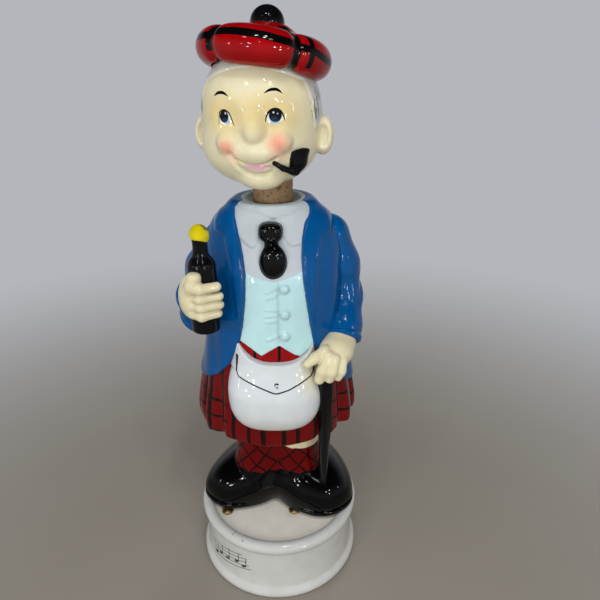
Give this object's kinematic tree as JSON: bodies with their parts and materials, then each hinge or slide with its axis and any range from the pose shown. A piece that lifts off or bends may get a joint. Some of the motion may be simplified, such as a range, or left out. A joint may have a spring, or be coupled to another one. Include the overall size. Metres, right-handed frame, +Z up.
{
  "type": "figural liquor decanter",
  "caption": "Glazed ceramic bottle in the form of a standing figure, whose corked head is the stopper, on a round base with a wind-up musical movement.",
  "frame": {"origin": "centre of the base's foot ring, on the surface it stands on", "axes": "+Z up, the figure faces -Y, +X to the right as seen from the front"},
  "size_m": [0.104, 0.104, 0.3335],
  "materials": {
    "base_glaze": "off-white gloss glaze",
    "jacket_glaze": "blue gloss glaze, painted clothes",
    "shoe_glaze": "black gloss glaze, painted socks",
    "skin_glaze": "cream gloss glaze",
    "bottle_glaze": "black gloss glaze",
    "bottle_cap_glaze": "yellow gloss glaze",
    "stick_glaze": "black gloss glaze",
    "sporran_glaze": "white gloss glaze with black outline",
    "tam_glaze": "red gloss glaze with black checks",
    "pompom_glaze": "black rough glaze",
    "pipe_glaze": "black gloss glaze",
    "cork": "natural cork",
    "brass": "bright turned brass",
    "steel": "bright steel",
    "zinc": "die-cast zinc, as cast"
  },
  "bodies": {
    "music_base": {"base_shell": "base_glaze", "movement_bedplate": "zinc", "mounting_screws": "brass", "tuned_comb": "steel", "comb_screws": "steel", "barrel_bridge": "brass", "bridge_screws": "steel", "governor_bracket": "steel", "plunger_spring": "steel"},
    "barrel": {"spring_barrel": "brass", "barrel_cap": "brass", "mainspring": "steel"},
    "winder": {"winding_arbor": "steel", "winding_key": "brass"},
    "cylinder": {"tune_cylinder": "brass", "cylinder_axle": "steel", "cylinder_pinion": "brass", "cylinder_wheel": "brass"},
    "transfer": {"transfer_arbor": "steel", "transfer_pinion": "brass", "contrate_wheel": "brass"},
    "governor": {"governor_arbor": "steel", "governor_pinion": "brass", "governor_fly": "brass"},
    "plunger": {"stop_plunger": "brass"},
    "decanter": {"body_vessel": "jacket_glaze", "legs_and_shoes": "shoe_glaze", "right_arm": "jacket_glaze", "right_hand": "skin_glaze", "toy_bottle": "bottle_glaze", "toy_bottle_cap": "bottle_cap_glaze", "left_arm": "jacket_glaze", "left_hand": "skin_glaze", "walking_stick": "stick_glaze", "sporran": "sporran_glaze"},
    "stopper": {"head_shell": "skin_glaze", "tam": "tam_glaze", "pompom": "pompom_glaze", "pipe": "pipe_glaze", "cork_stopper": "cork"}
  },
  "joints": [
    {"name": "decanter_lift", "type": "slide", "parent": "music_base", "child": "decanter", "axis": [0, 0, 1], "range_m": [0, 0.06]},
    {"name": "stopper_pull", "type": "slide", "parent": "decanter", "child": "stopper", "axis": [0, 0, 1], "range_m": [0, 0.04]},
    {"name": "plunger_rise", "type": "slide", "parent": "music_base", "child": "plunger", "axis": [0, 0, 1], "range_m": [0, 0.0026], "deforming": ["plunger_spring"]},
    {"name": "key_wind", "type": "hinge", "parent": "music_base", "child": "winder", "pos_m": [0.008, 0.002, 0.01], "axis": [0, 0, 1], "continuous": true},
    {"name": "barrel_spin", "type": "hinge", "parent": "music_base", "child": "barrel", "pos_m": [0.008, 0.002, 0.018], "axis": [0, 0, 1], "continuous": true},
    {"name": "cylinder_spin", "type": "hinge", "parent": "music_base", "child": "cylinder", "pos_m": [-0.015, 0.002, 0.027], "axis": [1, 0, 0], "continuous": true},
    {"name": "transfer_spin", "type": "hinge", "parent": "music_base", "child": "transfer", "pos_m": [-0.025, -0.0076, 0.027], "axis": [1, 0, 0], "continuous": true},
    {"name": "governor_spin", "type": "hinge", "parent": "music_base", "child": "governor", "pos_m": [-0.0326, -0.0076, 0.02], "axis": [0, 0, 1], "continuous": true}
  ],
  "couplings": [
    {"joint": "plunger_rise", "follows": "decanter_lift", "ratio": 0.041667},
    {"joint": "cylinder_spin", "follows": "barrel_spin", "ratio": -3},
    {"joint": "transfer_spin", "follows": "barrel_spin", "ratio": 9},
    {"joint": "governor_spin", "follows": "barrel_spin", "ratio": -27}
  ]
}
